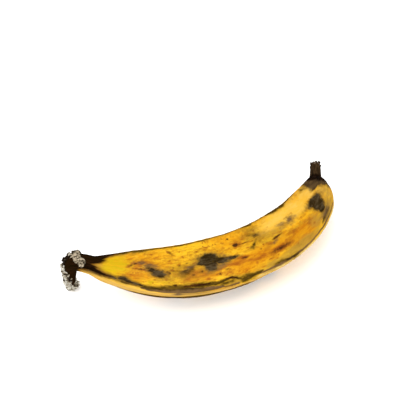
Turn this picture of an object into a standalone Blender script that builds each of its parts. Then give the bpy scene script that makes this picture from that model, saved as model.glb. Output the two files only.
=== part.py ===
"""A ripe plantain lying on its side.

The fruit is one lofted solid: the bent stalk, the neck, the five-ridged body and the
beak at the blossom end. On the stalk sits the dried crust of the crown that the fruit
was torn from, and on the beak the dried scar of its flower.

Metres, +Z up. The fruit rests on the plane z = 0, its outer bend faces -Y and its
length runs along +X, with the stalk at -X.
"""

import math
import random

import bmesh
import bpy
import numpy as np
from mathutils import Matrix

# ---- driving dimensions, in metres and degrees ----

STALK = 0.035            # along the axis, from the torn end to where the body swells
BODY = 0.217             # along the axis, from the neck to the blossom shoulder
BEAK = 0.016             # along the axis, past the shoulder
LENGTH = STALK + BODY + BEAK

GIRTH = 0.0242           # radius out to the ridges of the thickest section
THICKEST = 0.6           # where that is, as a share of the body
NECK_SWELL = (3.1, 0.60)      # how the body fills out from the neck
SHOULDER_CLOSE = (2.2, 0.50)  # how it closes to the blossom end
STALK_RADIUS = 0.0030         # at the torn end
NECK_RADIUS = 0.0066
BEAK_RADIUS = 0.0045
BEAK_TIP_RADIUS = 0.0040

# The axis: a heading in the floor plane and a pitch above it.
HEADING_AT_NECK = -43.0       # of the body, turning to the left along the fruit
HEADING_TURN = (58.0, 38.0)   # even and growing part of that turn
PITCH_AT_NECK = -11.5         # the neck slopes down to the belly
PITCH_AT_BEAK = -3.0
STALK_HEADING = -54.0         # the stalk stands nearly upright at its torn end
STALK_PITCH = 86.0
BEND = (0.013, 0.034)         # the stalk bends over between these distances

# The section: a rounded polygon with its corners on the ridges. Angles go round the
# axis from 0 on the outer bend, over the top at 90.
RIDGES = (12.0, 52.0, 113.0, 200.0, 280.0)
RIDGE_SHARPNESS = 13.0
RIDGE_HEIGHT = 1.3
NECK_RIDGE_RISE = 16.0        # the lowest front ridge climbs towards the neck
NECK_RIDGE_REACH = 0.022
RIDGES_RISE = (-0.003, 0.022)  # from the neck, where the ridges come up

SINK = 0.0012                 # how deep the soft underside is pressed flat
FLOOR_SIZE = 0.6              # of the block that stands for the floor
GAP = 0.0003                  # kept between two nodes

# Faces
SIDES_PER_FACET = 8
STALK_RINGS = 16
BODY_RINGS = 46
BEAK_RINGS = 7

# The crust of the crown: rows of lumps on the stalk. Each row runs from one place to
# another, as (distance, angle), and has a count, a size and a depth under the skin.
CRUST_ROWS = (
    ((0.0265, 140.0), (0.0290, 80.0), 4, 0.0028, 0.0004),    # over the top of the bend
    ((0.0295, 64.0), (0.0335, 46.0), 3, 0.0025, 0.0008),     # down in front of the neck
    ((0.0160, 100.0), (0.0260, 150.0), 5, 0.0029, 0.0004),   # at the back of the bend
    ((0.0030, 65.0), (0.0160, 76.0), 4, 0.0029, 0.0004),     # along the outer side
    ((0.0020, 20.0), (0.0120, 24.0), 3, 0.0027, 0.0006),     # and on each side of it
    ((0.0040, 125.0), (0.0120, 112.0), 2, 0.0030, 0.0006),
    ((-0.0010, 340.0), (-0.0010, 260.0), 2, 0.0026, 0.0008),  # round the torn end
    ((-0.0040, 60.0), (-0.0045, 200.0), 2, 0.0032, 0.0022),  # and across it
)
CRUST_SEED = 7
CRUST_ROOM = STALK + 0.004    # the crust is cut clear of the stalk up to here

# The scar of the flower: a knob on the end of the beak and flakes round it.
SCAR_KNOB = 0.0034
SCAR_FLAKE = 0.0013
SCAR_SPREAD = 0.0030          # from the axis out to the flakes
SCAR_PROUD = 0.0006           # the knob's middle past the end of the beak
SCAR_FLAKES = 7
SCAR_SEED = 3

PEEL = ((0.87, 0.50, 0.06), 0.5)
CRUST = ((0.46, 0.40, 0.29), 0.9)
SCAR = ((0.10, 0.07, 0.05), 0.85)


# ---- the axis and the section ----

def ease(x, low, high):
    """0 below low, 1 above high, with a smooth step between them."""
    t = np.clip((x - low) / (high - low), 0.0, 1.0)
    return t * t * (3.0 - 2.0 * t)


def axis_directions(along):
    """Heading and pitch of the axis, in radians, at distances along it."""
    share = np.clip((along - STALK) / BODY, 0.0, 1.0)
    even, growing = HEADING_TURN
    heading = HEADING_AT_NECK + even * share + growing * share ** 2
    pitch = PITCH_AT_NECK * (1.0 - share) ** 4 + PITCH_AT_BEAK * share ** 3
    over = ease(along, *BEND)
    heading = STALK_HEADING * (1.0 - over) + heading * over
    pitch = STALK_PITCH * (1.0 - over) + pitch * over
    return np.radians(heading), np.radians(pitch)


def axis_frames(along):
    """Points on the axis with the section's outward and upward unit vectors."""
    fine = np.linspace(0.0, LENGTH, 1201)
    heading, pitch = axis_directions(fine)
    step = np.column_stack((np.cos(pitch) * np.cos(heading),
                            np.cos(pitch) * np.sin(heading),
                            np.sin(pitch)))
    middle = (step[1:] + step[:-1]) / 2.0 * (fine[1] - fine[0])
    path = np.vstack((np.zeros(3), np.cumsum(middle, axis=0)))
    point = np.column_stack([np.interp(along, fine, path[:, k]) for k in range(3)])

    heading, pitch = axis_directions(along)
    tangent = np.column_stack((np.cos(pitch) * np.cos(heading),
                               np.cos(pitch) * np.sin(heading),
                               np.sin(pitch)))
    outward = np.column_stack((np.sin(heading), -np.cos(heading), 0.0 * heading))
    upward = np.cross(outward, tangent)
    before = np.minimum(along, 0.0)[:, None]
    after = np.maximum(along - LENGTH, 0.0)[:, None]
    return point + tangent * (before + after), outward, upward, tangent


def girth(along):
    """Radius out to the ridges, and how far the ridges have come up, from 0 to 1.

    The body fills out as half of a superellipse on each side of its thickest place,
    and the stalk and the beak are blended in as a cubic mean.
    """
    share = np.clip((along - STALK) / BODY, 0.0, 1.0)
    from_neck = np.clip(1.0 - share / THICKEST, 0.0, 1.0)
    from_beak = np.clip((share - THICKEST) / (1.0 - THICKEST), 0.0, 1.0)
    swell = (1.0 - from_neck ** NECK_SWELL[0]) ** NECK_SWELL[1]
    close = (1.0 - from_beak ** SHOULDER_CLOSE[0]) ** SHOULDER_CLOSE[1]
    body = GIRTH * swell * close
    stem = STALK_RADIUS + (NECK_RADIUS - STALK_RADIUS) * ease(along, 0.0, STALK)
    nib = BEAK_RADIUS + (BEAK_TIP_RADIUS - BEAK_RADIUS) * ease(along, STALK + BODY, LENGTH)
    core = stem + (nib - stem) * ease(share, 0.2, 0.8)
    ridged = body / (body + core) * ease(along - STALK, *RIDGES_RISE)
    return (body ** 3 + core ** 3) ** (1.0 / 3.0), ridged


def ridge_angles(along):
    """Angles of the ridges at each distance, one row for each distance, in degrees."""
    angles = np.tile(np.array(RIDGES), (len(along), 1))
    past_neck = np.maximum(along - STALK, 0.0)
    angles[:, 0] += NECK_RIDGE_RISE * np.exp(-past_neck / NECK_RIDGE_REACH)
    return angles


def section_shape(angle, ridges):
    """Radius of the rounded polygon at each angle, as a share of its largest.

    Each facet is a straight line between two ridges, and a high power mean of all the
    facets rounds the corners.
    """
    start = np.radians(ridges)
    end = np.roll(start, -1, axis=1)
    end[:, -1] += 2.0 * math.pi
    facing = ((start + end) / 2.0)[:, None, :]
    half = ((end - start) / 2.0)[:, None, :]
    facet = np.clip(np.cos(angle[:, :, None] - facing) / np.cos(half), 0.0, None)
    radius = (facet ** RIDGE_SHARPNESS).sum(axis=2) ** (-1.0 / RIDGE_SHARPNESS)
    return radius / radius.max(axis=1, keepdims=True)


def section_rings(along, extra=0.0):
    """Points of the skin, ring by ring, with grid lines that follow the ridges.

    The lines stand closer together near a ridge, to round it off.
    """
    ridges = ridge_angles(along)
    nxt = np.roll(ridges, -1, axis=1)
    nxt[:, -1] += 360.0
    even = np.arange(SIDES_PER_FACET) / SIDES_PER_FACET
    crowded = (1.0 - np.cos(math.pi * even)) / 2.0
    part = 0.4 * even + 0.6 * crowded
    angle = ridges[:, :, None] + (nxt - ridges)[:, :, None] * part
    angle = np.radians(angle.reshape(len(along), -1))
    reach, ridged = girth(along)
    shape = section_shape(angle, ridges)
    radius = reach[:, None] * (1.0 + RIDGE_HEIGHT * ridged[:, None] * (shape - 1.0))
    radius = (radius + extra)[:, :, None]
    point, outward, upward, _ = axis_frames(along)
    return (point[:, None, :]
            + radius * np.cos(angle)[:, :, None] * outward[:, None, :]
            + radius * np.sin(angle)[:, :, None] * upward[:, None, :])


def fruit_stations():
    """Distances of the rings: closer together where the girth changes fast."""
    even = np.linspace(0.0, 1.0, BODY_RINGS)
    crowded = (1.0 - np.cos(math.pi * even)) / 2.0
    stalk = np.linspace(0.0, STALK, STALK_RINGS, endpoint=False)
    body = STALK + BODY * (0.25 * even + 0.75 * crowded)
    beak = np.linspace(STALK + BODY, LENGTH, BEAK_RINGS + 1)[1:]
    return np.concatenate((stalk, body, beak))


# ---- meshes ----

def new_object(name, mesh, collection):
    """Put a mesh in the collection as an object of that name."""
    thing = bpy.data.objects.new(name, mesh)
    collection.objects.link(thing)
    return thing


def loft(name, rings, collection):
    """A closed solid through rings of points, with a middle point on each end."""
    count, sides = rings.shape[:2]
    points = np.vstack((rings.reshape(-1, 3), rings[0].mean(axis=0), rings[-1].mean(axis=0)))
    faces = []
    for row in range(count - 1):
        for side in range(sides):
            a = row * sides + side
            b = row * sides + (side + 1) % sides
            faces.append((a, a + sides, b + sides, b))
    first, last = count * sides, count * sides + 1
    for side in range(sides):
        after = (side + 1) % sides
        faces.append((first, side, after))
        faces.append((last, (count - 1) * sides + after, (count - 1) * sides + side))
    mesh = bpy.data.meshes.new(name)
    mesh.from_pydata(points.tolist(), [], faces)
    bm = bmesh.new()
    bm.from_mesh(mesh)
    bmesh.ops.triangulate(bm, faces=bm.faces)
    bmesh.ops.recalc_face_normals(bm, faces=bm.faces)
    bm.to_mesh(mesh)
    bm.free()
    return new_object(name, mesh, collection)


def lump(name, centre, size, stretch, draw, collection):
    """A knobbly lump: a ball whose points are pushed in and out and drawn out one way.

    centre is its place, size its radius, stretch a vector along which it is longer,
    and draw the seeded generator.
    """
    bm = bmesh.new()
    bmesh.ops.create_icosphere(bm, subdivisions=2, radius=1.0)
    wave = [draw.uniform(2.0, 4.0) for _ in range(3)]
    shift = [draw.uniform(0.0, 6.3) for _ in range(3)]
    for vert in bm.verts:
        x, y, z = vert.co
        bump = (math.sin(wave[0] * x + shift[0]) * math.sin(wave[1] * y + shift[1])
                + 0.6 * math.sin(wave[2] * (x + z) + shift[2]))
        co = vert.co * (1.0 + 0.22 * bump)
        away = float(np.dot(co, stretch))
        vert.co = [centre[k] + size * (co[k] + away * stretch[k]) for k in range(3)]
    mesh = bpy.data.meshes.new(name)
    bm.to_mesh(mesh)
    bm.free()
    return new_object(name, mesh, collection)


def boolean(thing, operation, solver="EXACT", other=None, group=None):
    """Join or cut a thing by an object or by all of a collection, and apply it."""
    modifier = thing.modifiers.new(operation.lower(), "BOOLEAN")
    modifier.operation = operation
    modifier.solver = solver
    if group is not None:
        modifier.operand_type = "COLLECTION"
        modifier.collection = group
    else:
        modifier.object = other
    graph = bpy.context.evaluated_depsgraph_get()
    mesh = bpy.data.meshes.new_from_object(thing.evaluated_get(graph))
    thing.modifiers.clear()
    thing.data = mesh


def keep_largest_piece(thing):
    """Drop the loose scraps that a cut leaves, and close up doubled points."""
    bm = bmesh.new()
    bm.from_mesh(thing.data)
    bmesh.ops.remove_doubles(bm, verts=bm.verts, dist=1e-6)
    left = set(bm.verts)
    pieces = []
    while left:
        stack = [left.pop()]
        piece = set(stack)
        while stack:
            for edge in stack.pop().link_edges:
                for vert in edge.verts:
                    if vert not in piece:
                        piece.add(vert)
                        left.discard(vert)
                        stack.append(vert)
        pieces.append(piece)
    largest = max(pieces, key=len)
    loose = [vert for vert in bm.verts if vert not in largest]
    bmesh.ops.delete(bm, geom=loose, context="VERTS")
    bm.to_mesh(thing.data)
    bm.free()


def press_flat(thing, cutters):
    """Cut away what lies below the resting plane."""
    bm = bmesh.new()
    bmesh.ops.create_cube(bm, size=FLOOR_SIZE)
    bmesh.ops.translate(bm, verts=bm.verts, vec=(0.0, 0.0, -FLOOR_SIZE / 2.0))
    mesh = bpy.data.meshes.new("floor_room")
    bm.to_mesh(mesh)
    bm.free()
    room = new_object("floor_room", mesh, cutters)
    boolean(thing, "DIFFERENCE", other=room)
    bpy.data.objects.remove(room)


def fuse(name, lumps, core, cutters, collection):
    """One body from a list of lumps, cut clear of the core that they sit on."""
    body = lumps[0]
    for other in lumps[1:]:
        cutters.objects.link(other)
        collection.objects.unlink(other)
    boolean(body, "UNION", group=cutters)
    for other in list(cutters.objects):
        bpy.data.objects.remove(other)
    boolean(body, "DIFFERENCE", other=core)
    bpy.data.objects.remove(core)
    keep_largest_piece(body)
    body.name = name
    return body


# ---- the sub-parts ----

def make_fruit(lift, collection, cutters):
    """Stalk, neck, ridged body and beak in one solid."""
    rings = section_rings(fruit_stations()) + lift
    fruit = loft("fruit", rings, collection)
    press_flat(fruit, cutters)
    return fruit


def skin_place(along, angle, above, lift):
    """A point over the skin, with the directions straight out of it and along it."""
    at = np.array([along])
    point, outward, upward, tangent = axis_frames(at)
    reach, _ = girth(np.clip(at, 0.0, LENGTH))
    turn = math.radians(angle)
    out = math.cos(turn) * outward[0] + math.sin(turn) * upward[0]
    return point[0] + out * (reach[0] + above) + lift, out, tangent[0]


def make_torn_crown(lift, collection, cutters):
    """The dried crust of the crown: rows of lumps fused round the stalk."""
    draw = random.Random(CRUST_SEED)
    lumps = []
    for (start, start_angle), (end, end_angle), count, size, depth in CRUST_ROWS:
        for index in range(count):
            part = index / (count - 1)
            along = start + (end - start) * part + draw.uniform(-0.0006, 0.0006)
            angle = start_angle + (end_angle - start_angle) * part
            radius = size * draw.uniform(0.85, 1.2)
            above = draw.uniform(0.0, 0.0009) - depth
            angle += draw.uniform(-6.0, 6.0)
            place, out, ahead = skin_place(along, angle, above, lift)
            stretch = out * draw.uniform(0.1, 0.5) + ahead * draw.uniform(-0.6, 0.6)
            lumps.append(lump("crust_lump", place, radius, stretch, draw, collection))
    around = section_rings(np.linspace(-GAP, CRUST_ROOM, 2 * STALK_RINGS), GAP) + lift
    stalk = loft("stalk_room", around, cutters)
    cutters.objects.unlink(stalk)
    collection.objects.link(stalk)
    crust = fuse("torn_crown", lumps, stalk, cutters, collection)
    press_flat(crust, cutters)
    return crust


def make_flower_scar(lift, collection, cutters):
    """The dried scar of the flower: a knob with flakes standing round it."""
    draw = random.Random(SCAR_SEED)
    at = np.array([LENGTH])
    point, outward, upward, tangent = axis_frames(at)
    tip = point[0] + tangent[0] * SCAR_PROUD + lift
    lumps = [lump("scar_knob", tip, SCAR_KNOB, 0.0 * tip, draw, collection)]
    for index in range(SCAR_FLAKES):
        turn = 2.0 * math.pi * (index + draw.uniform(-0.2, 0.2)) / SCAR_FLAKES
        out = math.cos(turn) * outward[0] + math.sin(turn) * upward[0]
        place = tip + out * SCAR_SPREAD + tangent[0] * draw.uniform(-0.0004, 0.0008)
        stretch = tangent[0] * draw.uniform(0.5, 0.9) + out * 0.3
        lumps.append(lump("scar_flake", place, SCAR_FLAKE, stretch, draw, collection))
    around = section_rings(np.linspace(STALK + BODY, LENGTH + GAP, BEAK_RINGS), GAP) + lift
    beak = loft("beak_room", around, cutters)
    cutters.objects.unlink(beak)
    collection.objects.link(beak)
    return fuse("flower_scar", lumps, beak, cutters, collection)


def finish(thing, look):
    """Give a sub-part its own material and smooth shading."""
    colour, roughness = look
    material = bpy.data.materials.new(thing.name)
    material.use_nodes = True
    shader = material.node_tree.nodes["Principled BSDF"]
    shader.inputs["Base Color"].default_value = (*colour, 1.0)
    shader.inputs["Roughness"].default_value = roughness
    shader.inputs["Metallic"].default_value = 0.0
    thing.data.materials.clear()
    thing.data.materials.append(material)
    thing.data.shade_smooth()


def floor_lift():
    """How far to shift everything so that the underside comes to rest on the floor."""
    lowest = section_rings(fruit_stations())[:, :, 2].min()
    return np.array((0.0, 0.0, -lowest - SINK))


def centre(things):
    """Bring the middle of the box round all the things over the origin."""
    points = np.array([vert.co for thing in things for vert in thing.data.vertices])
    middle = (points.min(axis=0) + points.max(axis=0)) / 2.0
    for thing in things:
        thing.data.transform(Matrix.Translation((-middle[0], -middle[1], 0.0)))


def main():
    """Clear the scene and build the three sub-parts."""
    for old in list(bpy.data.objects):
        bpy.data.objects.remove(old)
    parts = bpy.data.collections.new("plantain")
    cutters = bpy.data.collections.new("cutters")
    bpy.context.scene.collection.children.link(parts)
    bpy.context.scene.collection.children.link(cutters)

    lift = floor_lift()
    finish(make_fruit(lift, parts, cutters), PEEL)
    finish(make_torn_crown(lift, parts, cutters), CRUST)
    finish(make_flower_scar(lift, parts, cutters), SCAR)
    centre(list(parts.objects))


main()
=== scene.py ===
"""The looks of a ripe plantain lying on its side.

The peel is one fine surface over the whole fruit, from the torn stalk over the neck
and the five-ridged body to the beak. Its bruises, ridge lines and dark ends are
placed by distance along the fruit and angle round it, and the shader frays their
edges. Some of its colour is painted light: a highlight along two ridges and on the
top face, light reflected from the floor on the lower face, and contact shade on the
lowest face. The dried crust of the crown sits on the stalk, and the scar of the
flower on the beak; their hollows are partly painted shade.

Distances along the fruit start at its torn end. Angles go round it from 0 on the
outer bend, over the top at 90.
"""

import logging
import math
import random
from dataclasses import InitVar, dataclass
from enum import Enum
from types import SimpleNamespace

import bpy
import numpy as np
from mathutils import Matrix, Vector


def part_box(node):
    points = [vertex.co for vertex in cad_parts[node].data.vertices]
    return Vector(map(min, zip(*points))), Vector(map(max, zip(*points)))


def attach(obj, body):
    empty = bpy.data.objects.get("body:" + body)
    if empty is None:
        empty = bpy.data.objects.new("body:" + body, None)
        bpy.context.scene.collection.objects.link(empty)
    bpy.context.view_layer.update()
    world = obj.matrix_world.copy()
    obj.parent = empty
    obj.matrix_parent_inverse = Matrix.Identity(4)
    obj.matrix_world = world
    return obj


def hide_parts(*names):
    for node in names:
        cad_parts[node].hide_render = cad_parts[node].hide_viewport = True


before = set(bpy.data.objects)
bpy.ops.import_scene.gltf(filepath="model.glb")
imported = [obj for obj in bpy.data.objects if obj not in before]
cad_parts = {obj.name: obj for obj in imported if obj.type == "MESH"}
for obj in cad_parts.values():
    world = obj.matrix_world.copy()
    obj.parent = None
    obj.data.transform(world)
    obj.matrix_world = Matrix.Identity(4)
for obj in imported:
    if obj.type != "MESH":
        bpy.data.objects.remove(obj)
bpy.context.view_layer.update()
LOG = logging.getLogger("plantain")

MM = 0.001
Array = np.ndarray
Span = tuple[float, float]
Colour = tuple[float, float, float]

# The places of a colour Mix node's own sockets.
MIX_SHARE, MIX_FIRST, MIX_SECOND, MIX_RESULT = 0, 6, 7, 2

# Dry surfaces reflect next to nothing straight back.
MATT = {"IOR": 1.1, "Specular IOR Level": 0.02}

# How many sine waves make a ripple, and how far their lengths spread.
WAVE_COUNT = 24
WAVE_SPREAD = (0.6, 1.4)


# ---- shader expressions ----

@dataclass(frozen=True)
class Grain:
    """A noise: the size of its largest grains in metres, and its character.

    drawn is 1 for round grains and less for grains drawn out along the fruit.
    """

    size: float
    drawn: float = 1.0
    detail: float = 4.0
    rough: float = 0.65
    distort: float = 0.0


class Socket:
    """A node's output that takes part in Python sums and products."""

    def __init__(self, graph: "Graph", output: bpy.types.NodeSocket) -> None:
        """Hold the output and the graph that it belongs to."""
        self.graph = graph
        self.output = output

    def __add__(self, other: "Socket | float") -> "Socket":
        """Sum."""
        return self.graph.maths("ADD", self, other)

    __radd__ = __add__

    def __mul__(self, other: "Socket | float") -> "Socket":
        """Product."""
        return self.graph.maths("MULTIPLY", self, other)

    __rmul__ = __mul__

    def __sub__(self, other: "Socket | float") -> "Socket":
        """Difference."""
        return self.graph.maths("SUBTRACT", self, other)

    def __rsub__(self, other: float) -> "Socket":
        """Difference from a number."""
        return self.graph.maths("SUBTRACT", other, self)


class Graph:
    """A material's nodes, added one expression at a time."""

    def __init__(self, name: str, followed: str | None = None) -> None:
        """Start a material.

        Args:
            name: of the material.
            followed: the stored vector that its patterns follow. Without one they
                lie on Object coordinates.
        """
        self.material = bpy.data.materials.new(name)
        self.material.use_nodes = True
        self.tree = self.material.node_tree
        self.tree.nodes.clear()
        self.place = (self.attribute(followed, vector=True) if followed
                      else self.node("TexCoord", result="Object"))

    def node(self, kind: str, settings: dict | None = None,
             inputs: dict | None = None, result: int | str = 0) -> "Socket | None":
        """Add one node, set it up, then fill or link its sockets.

        Args:
            kind: the node's type, without its ShaderNode prefix.
            settings: its properties, set first.
            inputs: numbers, colours or sockets, by the input's name or index.
            result: which output to return.

        Returns:
            The chosen output, or None for a node without any.
        """
        made = self.tree.nodes.new("ShaderNode" + kind)
        for key, value in (settings or {}).items():
            setattr(made, key, value)
        for key, value in (inputs or {}).items():
            if isinstance(value, Socket):
                self.tree.links.new(value.output, made.inputs[key])
            else:
                made.inputs[key].default_value = value
        return Socket(self, made.outputs[result]) if made.outputs else None

    def maths(self, operation: str, a: "Socket | float", b: "Socket | float") -> Socket:
        """One Math node."""
        return self.node("Math", {"operation": operation}, {0: a, 1: b})

    def attribute(self, name: str, vector: bool = False) -> Socket:
        """A value or vector stored on the points of the mesh."""
        return self.node("Attribute", {"attribute_name": name},
                         result="Vector" if vector else "Fac")

    def noise(self, grain: Grain) -> Socket:
        """Fractal noise from 0 to 1, with grains drawn out along the last axis."""
        drawn = self.node("VectorMath", {"operation": "MULTIPLY"},
                          {0: self.place, 1: (1.0, 1.0, grain.drawn)})
        return self.node("TexNoise", None, {"Vector": drawn, "Scale": 1.0 / grain.size,
                                            "Detail": grain.detail, "Roughness": grain.rough,
                                            "Distortion": grain.distort})

    def step(self, value: Socket, low: float, high: float) -> Socket:
        """0 below low, 1 above high, with a smooth step between them."""
        return self.node("MapRange", {"interpolation_type": "SMOOTHSTEP"},
                         {"Value": value, "From Min": low, "From Max": high})

    def mix(self, share: "Socket | float", a: "Socket | Colour",
            b: "Socket | Colour") -> Socket:
        """Colour a, going over to colour b with the share."""
        first, second = (x if isinstance(x, Socket) else (*x, 1.0) for x in (a, b))
        return self.node("Mix", {"data_type": "RGBA"},
                         {MIX_SHARE: share, MIX_FIRST: first, MIX_SECOND: second},
                         result=MIX_RESULT)

    def surface(self, colour: Socket, roughness: Socket, height: Socket,
                relief: float, others: dict[str, Socket | float]) -> bpy.types.Material:
        """Close the graph with a Principled shader and a bump.

        Args:
            colour: of the surface.
            roughness: of the surface, from 0 to 1.
            height: the bump's height, from 0 to 1.
            relief: how deep that is, in metres.
            others: more sockets of the shader.

        Returns:
            The finished material.
        """
        bump = self.node("Bump", None, {"Strength": 1.0, "Distance": relief,
                                        "Height": height})
        inputs = {"Base Color": colour, "Roughness": roughness, "Normal": bump}
        shader = self.node("BsdfPrincipled", None, {**inputs, **others})
        self.node("OutputMaterial", None, {"Surface": shader})
        return self.material


# ---- numpy surfaces ----

def ease(x: Array, low: float, high: float) -> Array:
    """0 below low, 1 above high, with a smooth step between them."""
    t = np.clip((x - low) / (high - low), 0.0, 1.0)
    return t * t * (3.0 - 2.0 * t)


@dataclass(frozen=True)
class Ripple:
    """Smooth random relief: a mean of sine waves that run in random directions.

    size is the length of the waves in metres, and drawn is less than 1 where they
    are drawn out along the last axis.
    """

    size: float
    seed: int
    height: float
    drawn: float = 1.0

    def over(self, points: Array) -> Array:
        """The relief at some places.

        Args:
            points: with x, y and z on the last axis, in metres.

        Returns:
            Values mostly between the height and its negative.
        """
        draw = np.random.default_rng(self.seed)
        way = draw.normal(size=(WAVE_COUNT, 3))
        way *= (draw.uniform(*WAVE_SPREAD, (WAVE_COUNT, 1))
                / np.linalg.norm(way, axis=1, keepdims=True))
        start = draw.uniform(0.0, math.tau, WAVE_COUNT)
        phase = points * (1.0, 1.0, self.drawn) @ (way.T * math.tau / self.size) + start
        return np.sin(phase).sum(axis=-1) / math.sqrt(WAVE_COUNT) * self.height


# What is drawn at random: names with evenly drawn ranges, or with a third number
# where most values lie.
Recipe = tuple[tuple[str | float, ...], ...]


def pick(recipe: Recipe, draw: random.Random) -> SimpleNamespace:
    """The values of a recipe by name, drawn in its order."""
    return SimpleNamespace(**{
        name: (draw.triangular if len(span) > 2 else draw.uniform)(*span)
        for name, *span in recipe})


def tube_mesh(name: str, tubes: list[Array]) -> bpy.types.Mesh:
    """A mesh of closed tubes through rings of points, kept above the floor.

    Neighbouring rings are joined by quads, and each end is a fan of triangles round
    the mean of its ring.

    Args:
        name: of the mesh.
        tubes: points by ring and by place round it, for each tube.

    Returns:
        The mesh, with its faces outwards where the rings turn counter-clockwise
        as seen from the last ring.
    """
    faces, start = [], 0
    for rings in tubes:
        count, sides = rings.shape[:2]
        index = start + np.arange(count * sides).reshape(count, sides)
        after = np.roll(index, -1, axis=1)
        end = np.full(sides, start + count * sides)
        quads = np.stack((index[:-1], after[:-1], after[1:], index[1:]), axis=-1)
        low = np.stack((end, after[0], index[0]), axis=-1)
        high = np.stack((end + 1, index[-1], after[-1]), axis=-1)
        faces += quads.reshape(-1, 4).tolist() + low.tolist() + high.tolist()
        start += count * sides + 2
    points = np.concatenate([with_ends(rings) for rings in tubes])
    points[:, 2] = np.maximum(points[:, 2], 0.0)
    mesh = bpy.data.meshes.new(name)
    mesh.from_pydata(points.tolist(), [], faces)
    mesh.shade_smooth()
    return mesh


def with_ends(grid: Array) -> Array:
    """Values on the rings of a tube, then their means for its two end points."""
    ends = np.stack((grid[0].mean(axis=0), grid[-1].mean(axis=0)))
    return np.concatenate((grid.reshape(-1, *grid.shape[2:]), ends))


def store(mesh: bpy.types.Mesh, name: str, grids: list[Array]) -> None:
    """Keep one number or one vector for each point of a mesh, for the shader.

    Args:
        mesh: made by tube_mesh.
        name: of the attribute.
        grids: values by ring and by place round it, for each tube.
    """
    values = np.concatenate([with_ends(grid) for grid in grids])
    kind, key = ("FLOAT_VECTOR", "vector") if values.ndim == 2 else ("FLOAT", "value")
    held = mesh.attributes.new(name, kind, "POINT")
    held.data.foreach_set(key, np.ascontiguousarray(values, dtype=np.float32).ravel())


def add_piece(mesh: bpy.types.Mesh, material: bpy.types.Material, slot: str,
              *replaced: str) -> bpy.types.Object:
    """Put a mesh in the scene as a finished piece of the part.

    Args:
        mesh: its place is in its points.
        material: its finish.
        slot: the material slot that it stands for; not used.
        replaced: the plain solids that it stands for.

    Returns:
        The new object.
    """
    mesh.materials.append(material)
    piece = bpy.data.objects.new(mesh.name, mesh)
    bpy.context.scene.collection.objects.link(piece)
    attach(piece, "root")
    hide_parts(*replaced)
    return piece


# ---- the form of the fruit ----

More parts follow.
